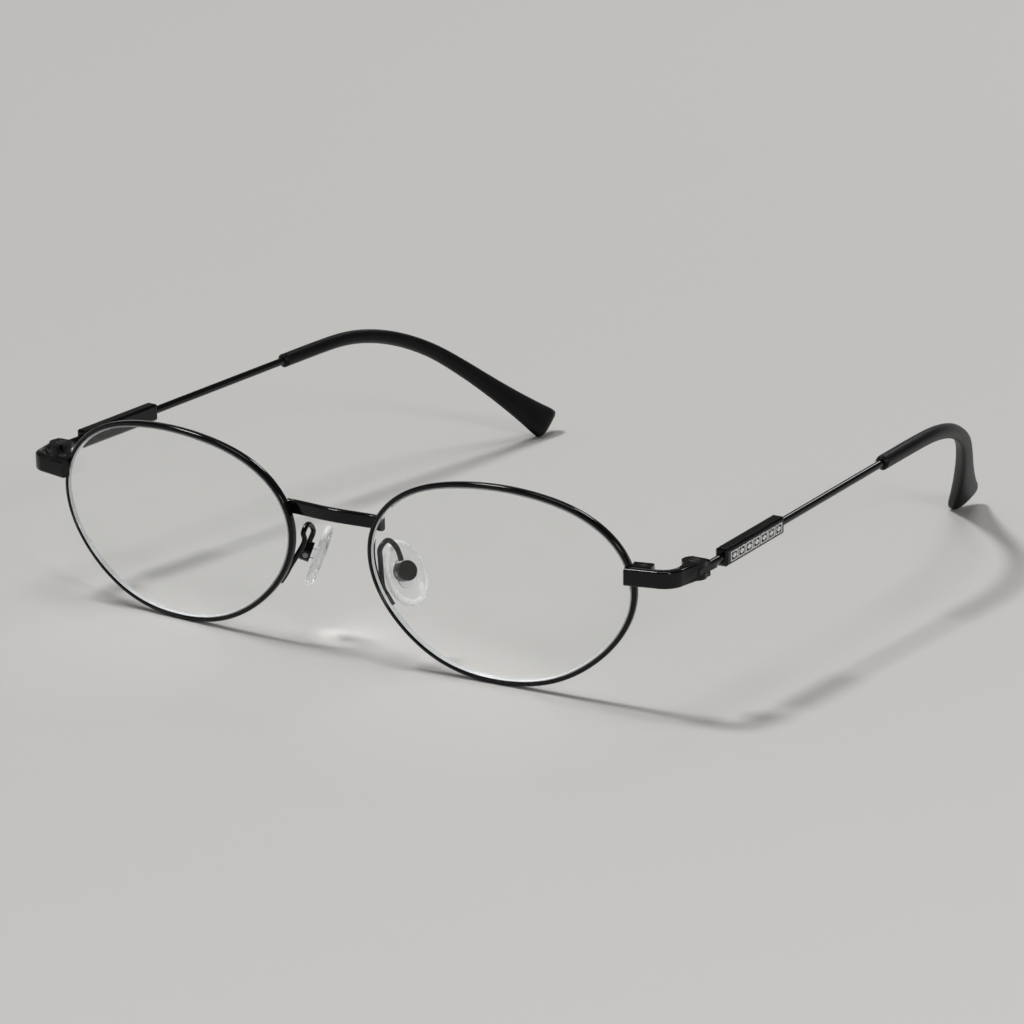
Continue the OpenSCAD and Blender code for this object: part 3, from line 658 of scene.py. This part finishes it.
@dataclass
class Front:
    """Rims, lenses, bridge, end pieces and closing blocks, all on the front body."""

    palette: Palette
    body: str = "front"
    rim_levels: int = 2
    rim_crease: float = 44.0
    lens_levels: int = 1
    lens_crease: float = 24.0
    lens_edge_slope: float = 0.8
    bridge_levels: int = 2
    bridge_crease: float = 60.0
    edge_angle: float = 34.0
    bar_round: float = 0.32 * MM
    bar_front: float = 7.0 * MM
    lug_round: float = 0.12 * MM
    lug_segments: int = 2
    block_round: float = 0.4 * MM
    block_segments: int = 3
    bead_radius: float = 0.42 * MM
    bead_stretch: Triple = (1.25, 0.8, 0.7)
    bead_inset: Triple = (1.5 * MM, 1.35 * MM, 0.3 * MM)

    def build(self) -> None:
        """Builds every piece of the front."""
        self.bridge()
        for side in Side:
            self.rim(side)
            self.lens(side)
            self.end_piece(side)
            self.closing_blocks(side)
            self.screws(side)
        self.solder_beads()

    def rim(self, side: Side) -> None:
        """The rounded eyewire with its groove."""
        piece = Bench.copy_node(side.of("rim"), side.of("eyewire"))
        Bench.subdivide(piece, self.rim_levels, self.rim_crease)
        self.palette.dress(piece, LACQUER)
        Bench.hand_over(piece, self.body, LACQUER.slot, side.of("rim"))

    def lens(self, side: Side) -> None:
        """The clear lens, whose ground edge is pale: partly the frosted edge's own colour, partly
        a painted reflection.
        """
        piece = Bench.copy_node(side.of("lens"), side.of("clear_lens"))
        Bench.crease(piece, self.lens_crease)
        Bench.modifier(
            piece, "SUBSURF", levels=self.lens_levels, render_levels=self.lens_levels
        )
        self.palette.dress(piece, LENS, GROUND_EDGE_AND_REFLECTION)
        points = np.array([v.co for v in piece.data.vertices], float)
        centred = points - points.mean(0)
        axis = Vector(np.linalg.eigh(centred.T @ centred)[1][:, 0])
        # The lens's side faces take the pale edge colour, which is partly a painted reflection.
        for face in piece.data.polygons:
            face.material_index = int(abs(face.normal.dot(axis)) < self.lens_edge_slope)
        Bench.smooth(piece, self.lens_crease)
        piece.visible_shadow = False
        Bench.hand_over(piece, self.body, LENS.slot, side.of("lens"))

    def bridge(self) -> None:
        """The flat bar between the rims, with its rounded edges."""
        piece = Bench.copy_node("bridge", "bridge_bar")
        Bench.subdivide(piece, self.bridge_levels, self.bridge_crease)
        self.palette.dress(piece, LACQUER)
        Bench.hand_over(piece, self.body, LACQUER.slot, "bridge")

    def end_piece(self, side: Side) -> None:
        """The bar that wraps round to the hinge, with softened edges."""
        piece = Bench.copy_node(side.of("end_piece"), side.of("wrap_bar"))
        lug_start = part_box(side.of("end_piece"))[0].y + self.bar_front
        Bench.round_region(
            piece, self.bar_round, self.edge_angle, lambda point: point.y < lug_start
        )
        Bench.round_edges(piece, self.lug_round, self.lug_segments, self.edge_angle)
        self.palette.dress(piece, LACQUER)
        Bench.hand_over(piece, self.body, LACQUER.slot, side.of("end_piece"))

    def closing_blocks(self, side: Side) -> None:
        """The two halves that pull the split rim shut."""
        for part in ("upper", "lower"):
            node = side.of(f"closing_block_{part}")
            piece = Bench.copy_node(node, side.of(f"rim_lock_{part}"))
            Bench.round_edges(
                piece, self.block_round, self.block_segments, self.edge_angle
            )
            self.palette.dress(piece, LACQUER)
            Bench.hand_over(piece, self.body, LACQUER.slot, node)

    def screws(self, side: Side) -> None:
        """The carried-over screws of the front."""
        for part in ("closing_screw", "hinge_screw"):
            self.palette.dress_node(side.of(part), BLACK_STEEL)

    def solder_beads(self) -> None:
        """Small beads of solder where the bridge meets the rims."""
        bpy.ops.object.select_all(action="DESELECT")
        bpy.ops.mesh.primitive_ico_sphere_add(subdivisions=3, radius=self.bead_radius)
        seed = bpy.context.view_layer.objects.active
        bpy.ops.object.mode_set(mode="EDIT")
        bpy.ops.mesh.select_all(action="SELECT")
        bpy.ops.transform.resize(value=self.bead_stretch)
        bpy.ops.object.mode_set(mode="OBJECT")
        Bench.smooth(seed, 180.0)
        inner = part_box("bridge")[1] - Vector(self.bead_inset)
        for side in Side:
            spot = Vector((side.sign * inner.x, inner.y, inner.z))
            bead = Bench.twin(seed, side.of("solder_bead"), Matrix.Translation(spot))
            self.palette.dress(bead, LACQUER)
            Bench.hand_over(bead, self.body, LACQUER.slot)
        bpy.data.objects.remove(seed)


@dataclass
class NosePads:
    """Wire arms, barrels, screws, inserts and silicone pads."""

    palette: Palette
    arm_levels: int = 2
    arm_crease: float = 60.0
    barrel_round: float = 1.0 * MM
    barrel_segments: int = 4
    barrel_angle: float = 50.0
    ring_points: int = 56
    teardrop: float = 0.1
    edge_share: float = 0.86
    edge_level: float = -0.4
    pad_levels: int = 1
    pad_smooth: float = 70.0
    pad_shares: tuple[tuple[float, float], ...] = (
        (0.14, 0.72), (0.26, 0.74), (0.29, 0.58), (0.38, 0.6), (0.41, 0.46), (0.5, 0.5),
        (0.53, 0.38), (0.62, 0.42), (0.65, 0.32), (0.76, 0.38), (0.79, 0.66), (0.87, 0.74),
        (0.95, 0.6), (0.99, 0.3), (1.0, -0.05), (0.98, -0.42), (0.9, -0.74), (0.66, -0.93),
        (0.3, -0.99),
    )

    def build(self) -> None:
        """Builds both pads and what holds them."""
        for side in Side:
            self.arm(side)
            self.barrel(side)
            self.insert(side)
            self.silicone(side)
            self.palette.dress_node(side.of("pad_screw"), DARK_STEEL)

    def arm(self, side: Side) -> None:
        """The bent wire from the rim to the barrel."""
        piece = Bench.copy_node(side.of("pad_arm"), side.of("pad_wire"))
        Bench.subdivide(piece, self.arm_levels, self.arm_crease)
        self.palette.dress(piece, LACQUER)
        Bench.hand_over(piece, "front", LACQUER.slot, side.of("pad_arm"))

    def barrel(self, side: Side) -> None:
        """The rounded barrel that the pad's lug goes into."""
        piece = Bench.copy_node(side.of("pad_box"), side.of("pad_barrel"))
        Bench.round_edges(
            piece, self.barrel_round, self.barrel_segments, self.barrel_angle
        )
        self.palette.dress(piece, LACQUER)
        Bench.hand_over(piece, "front", LACQUER.slot, side.of("pad_box"))

    def insert(self, side: Side) -> None:
        """The carried-over insert inside the silicone."""
        self.palette.dress_node(side.of("pad_core"), INSERT)
        frame["nodes"][side.of("pad_core")].visible_shadow = False

    def silicone(self, side: Side) -> None:
        """The soft oval pad: ridged rings on the box's side and a smooth face on the nose's."""
        piece = self.turned_oval(side.of("silicone_pad"))
        self.palette.dress(piece, SILICONE, SILICONE_EDGE_REFLECTION)
        # The faces on the pad's rim take the whiter band, a painted reflection.
        for face in piece.data.polygons:
            reach = max(math.hypot(*piece.data.vertices[i].co.xy) for i in face.vertices)
            on_edge = reach > self.edge_share and face.center.z > self.edge_level
            face.material_index = int(on_edge)
        hinge = next(j for j in frame["joints"] if j["child"] == side.of("pad"))
        up, outward = Vector((0, 0, 1)), Vector((side.sign, -0.5, 0.3))
        where = LocalFrame.of(side.of("nose_pad"), up, outward, Vector(hinge["axis"]))
        half = where.size / 2
        Bench.place(piece, where.matrix() @ Matrix.Diagonal((half.x, half.y, half.z, 1.0)))
        Bench.modifier(piece, "SUBSURF", levels=self.pad_levels, render_levels=self.pad_levels)
        Bench.smooth(piece, self.pad_smooth)
        piece.visible_shadow = False
        Bench.hand_over(piece, side.of("pad"), SILICONE.slot, side.of("nose_pad"))

    def turned_oval(self, name: str) -> bpy.types.Object:
        """The pad's body at unit size, drawn out ring by ring from the face on the box's side.

        Args:
            name: The piece's name.

        Returns:
            The piece.
        """
        share, level = self.pad_shares[0]
        bpy.ops.object.select_all(action="DESELECT")
        bpy.ops.mesh.primitive_circle_add(
            vertices=self.ring_points, radius=share, fill_type="NGON", location=(0, 0, level)
        )
        piece = bpy.context.view_layer.objects.active
        piece.name = piece.data.name = name
        bpy.ops.object.transform_apply(location=True)
        bpy.ops.object.mode_set(mode="EDIT")
        bpy.ops.mesh.select_mode(type="EDGE")
        bpy.ops.mesh.select_all(action="SELECT")
        for next_share, next_level in self.pad_shares[1:]:
            bpy.ops.mesh.extrude_edges_move(
                TRANSFORM_OT_translate={"value": (0, 0, next_level - level)}
            )
            grow = next_share / share
            bpy.ops.transform.resize(value=(grow, grow, 1.0), center_override=(0, 0, 0))
            share, level = next_share, next_level
        bpy.ops.mesh.edge_face_add()
        bpy.ops.mesh.select_all(action="SELECT")
        bpy.ops.mesh.normals_make_consistent(inside=False)
        bpy.ops.object.mode_set(mode="OBJECT")
        for vertex in piece.data.vertices:
            vertex.co.x *= 1.0 - self.teardrop * vertex.co.y
        return piece


@dataclass
class Temples:
    """Tongue, block, ornament, wire and tip of each temple."""

    palette: Palette
    block_round: float = 0.3 * MM
    block_segments: int = 3
    block_angle: float = 30.0
    relief_round: float = 0.05 * MM
    relief_segments: int = 2
    relief_angle: float = 40.0
    relief_rise: float = 0.16 * MM
    ground_slack: float = 0.02 * MM
    collar_round: float = 0.4 * MM
    collar_length: float = 2.0 * MM
    collar_angle: float = 55.0
    tip_levels: int = 2
    tip_crease: float = 40.0

    def build(self) -> None:
        """Builds both temples."""
        for side in Side:
            body = side.of("temple")
            self.block(side, body)
            self.ornament(side, body)
            self.tip(side, body)
            for part in ("temple_tongue", "temple_wire"):
                self.palette.dress_node(side.of(part), LACQUER)

    def block(self, side: Side, body: str) -> None:
        """The flat block with chamfered edges."""
        piece = Bench.copy_node(side.of("temple_block"), side.of("side_block"))
        Bench.round_edges(piece, self.block_round, self.block_segments, self.block_angle)
        self.palette.dress(piece, LACQUER)
        Bench.hand_over(piece, body, LACQUER.slot, side.of("temple_block"))

    def ornament(self, side: Side, body: str) -> None:
        """The bright relief strip, with a dark ground between its raised frames."""
        along, outward = Vector((0, 1, 0)), Vector((side.sign, 0, 0))
        where = LocalFrame.of(side.of("ornament"), along, outward)
        piece = Bench.copy_node(side.of("ornament"), side.of("relief_strip"))
        Bench.round_edges(
            piece, self.relief_round, self.relief_segments, self.relief_angle
        )
        self.palette.dress(piece, SILVER, RELIEF_GROUND)
        ground = where.size.z / 2 - self.relief_rise + self.ground_slack
        for face in piece.data.polygons:
            level = (face.center - where.middle).dot(where.thick_axis)
            face.material_index = int(level < ground)
        Bench.hand_over(piece, body, SILVER.slot, side.of("ornament"))

    def tip(self, side: Side, body: str) -> None:
        """The plastic sleeve that bends down behind the ear."""
        piece = Bench.copy_node(side.of("temple_tip"), side.of("ear_tip"))
        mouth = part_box(side.of("temple_tip"))[0].y + self.collar_length
        Bench.round_region(
            piece, self.collar_round, self.collar_angle, lambda point: point.y < mouth
        )
        Bench.subdivide(piece, self.tip_levels, self.tip_crease)
        self.palette.dress(piece, TIP_PLASTIC)
        Bench.hand_over(piece, body, TIP_PLASTIC.slot, side.of("temple_tip"))


@dataclass
class Studio:
    """A pale floor, soft lamps and the camera."""

    floor_colour: Triple = (0.55, 0.54, 0.525)
    floor_shade: float = 0.97
    floor_grain: float = 3.0
    floor_roughness: float = 0.75
    floor_specular: float = 0.2
    floor_width: float = 12.0
    floor_drop: float = 0.02 * MM
    ambient: float = 0.2
    ceiling_share: float = 0.15
    ceiling_start: float = 0.36
    aim_height: float = 0.02
    camera_spot: Triple = (0.44523, -0.73020, 0.24981)
    azimuth: float = 31.94
    elevation: float = 15.80
    roll: float = 0.85
    focal_length: float = 169.07
    sensor_width: float = 36.0
    suns: tuple[tuple[str, Triple, float, float], ...] = (
        ("overhead_light", (-0.1, 0.12, 1.0), 24.0, 0.6),
        ("key_light", (-0.48, -0.04, 0.86), 11.0, 1.8),
    )
    panels: tuple[tuple[str, Triple, tuple[float, float], float], ...] = (
        ("front_panel", (0.75, -0.5, 0.5), (0.2, 0.2), 1.9),
        ("back_strip", (-0.1, 0.82, 0.57), (0.16, 0.14), 0.5),
    )

    def build(self) -> None:
        """Builds the whole studio."""
        self.floor()
        self.world()
        self.lights()
        self.camera()
        bpy.context.scene.view_settings.view_transform = "Standard"

    def floor(self) -> None:
        """A wide plain floor just under the rims and tips."""
        bpy.ops.object.select_all(action="DESELECT")
        bpy.ops.mesh.primitive_plane_add(size=self.floor_width, location=(0, 0, -self.floor_drop))
        plane = bpy.context.view_layer.objects.active
        plane.name = "studio_floor"
        shader = Shader("pale_floor").settings(
            roughness=self.floor_roughness, specular_ior_level=self.floor_specular
        )
        noise = shader.add("ShaderNodeTexNoise")
        noise.inputs["Scale"].default_value = self.floor_grain
        shade = tuple(c * self.floor_shade for c in self.floor_colour)
        shader.colours(noise.outputs["Fac"], self.floor_colour, shade)
        plane.data.materials.append(shader.material)

    def world(self) -> None:
        """A soft even light, and a visible surround that is pale only at the horizon."""
        world = bpy.data.worlds.new("studio_world")
        bpy.context.scene.world = world
        world.use_nodes = True
        tree = world.node_tree
        light = tree.nodes["Background"]
        light.inputs["Color"].default_value = (1, 1, 1, 1)
        light.inputs["Strength"].default_value = self.ambient
        shown = tree.nodes.new("ShaderNodeBackground")
        shown.inputs["Color"].default_value = (*self.floor_colour, 1)
        way = tree.nodes.new("ShaderNodeTexCoord")
        height = tree.nodes.new("ShaderNodeSeparateXYZ")
        fade = tree.nodes.new("ShaderNodeMapRange")
        fade.interpolation_type = "SMOOTHSTEP"
        fade.inputs["From Max"].default_value = self.ceiling_start
        fade.inputs["To Min"].default_value = 1.0
        fade.inputs["To Max"].default_value = self.ceiling_share
        paths = tree.nodes.new("ShaderNodeLightPath")
        either, any_of, before_floor, seen = (tree.nodes.new("ShaderNodeMath") for _ in range(4))
        either.operation = any_of.operation = "MAXIMUM"
        before_floor.operation = "LESS_THAN"
        before_floor.inputs[1].default_value = 0.5
        seen.operation = "MULTIPLY"
        mix = tree.nodes.new("ShaderNodeMixShader")
        for source, target in (
            (way.outputs["Generated"], height.inputs[0]),
            (height.outputs["Z"], fade.inputs["Value"]),
            (fade.outputs["Result"], shown.inputs["Strength"]),
            (paths.outputs["Is Camera Ray"], either.inputs[0]),
            (paths.outputs["Is Glossy Ray"], either.inputs[1]),
            (either.outputs[0], any_of.inputs[0]),
            (paths.outputs["Is Transmission Ray"], any_of.inputs[1]),
            (paths.outputs["Diffuse Depth"], before_floor.inputs[0]),
            (any_of.outputs[0], seen.inputs[0]),
            (before_floor.outputs[0], seen.inputs[1]),
            (seen.outputs[0], mix.inputs[0]),
            (light.outputs[0], mix.inputs[1]),
            (shown.outputs[0], mix.inputs[2]),
            (mix.outputs[0], tree.nodes["World Output"].inputs["Surface"]),
        ):
            tree.links.new(source, target)

    def lights(self) -> None:
        """Two suns that light the floor evenly, and two small panels for gloss."""
        for name, spot, spread, strength in self.suns:
            data = bpy.data.lights.new(name, "SUN")
            data.angle, data.energy = math.radians(spread), strength
            self.hang(data, spot)
        for name, spot, (wide, long), power in self.panels:
            data = bpy.data.lights.new(name, "AREA")
            data.shape, data.energy = "RECTANGLE", power
            data.size, data.size_y = wide, long
            self.hang(data, spot)

    def hang(self, data: bpy.types.Light, spot: Triple) -> None:
        """Hangs a lamp at a spot and turns it to the object.

        Args:
            data: The lamp's light.
            spot: Its place.
        """
        lamp = bpy.data.objects.new(data.name, data)
        bpy.context.scene.collection.objects.link(lamp)
        lamp.location = spot
        aim = Vector((0, 0, self.aim_height)) - Vector(spot)
        lamp.rotation_mode = "QUATERNION"
        lamp.rotation_quaternion = aim.to_track_quat("-Z", "Y")

    def camera(self) -> None:
        """The camera at the photograph's angle."""
        data = bpy.data.cameras.new("camera")
        data.sensor_width, data.lens = self.sensor_width, self.focal_length
        data.clip_start, data.clip_end = 0.01, 50.0
        camera = bpy.data.objects.new("camera", data)
        bpy.context.scene.collection.objects.link(camera)
        az, el, roll = (math.radians(v) for v in (self.azimuth, self.elevation, self.roll))
        back = Vector((math.sin(az) * math.cos(el), -math.cos(az) * math.cos(el), math.sin(el)))
        level = Vector((math.cos(az), math.sin(az), 0.0))
        rise = back.cross(level)
        right = level * math.cos(roll) + rise * math.sin(roll)
        up = rise * math.cos(roll) - level * math.sin(roll)
        turn = Matrix((right, up, back)).transposed().to_4x4()
        camera.matrix_world = Matrix.Translation(Vector(self.camera_spot)) @ turn
        bpy.context.scene.camera = camera


def main() -> None:
    """Builds the eyeglasses and the studio."""
    logging.basicConfig(level=logging.INFO, format="%(message)s")
    palette = Palette()
    for assembly in (Front(palette), NosePads(palette), Temples(palette), Studio()):
        LOG.info("building %s", type(assembly).__name__)
        assembly.build()
    bpy.context.view_layer.update()


if __name__ == "__main__":
    main()
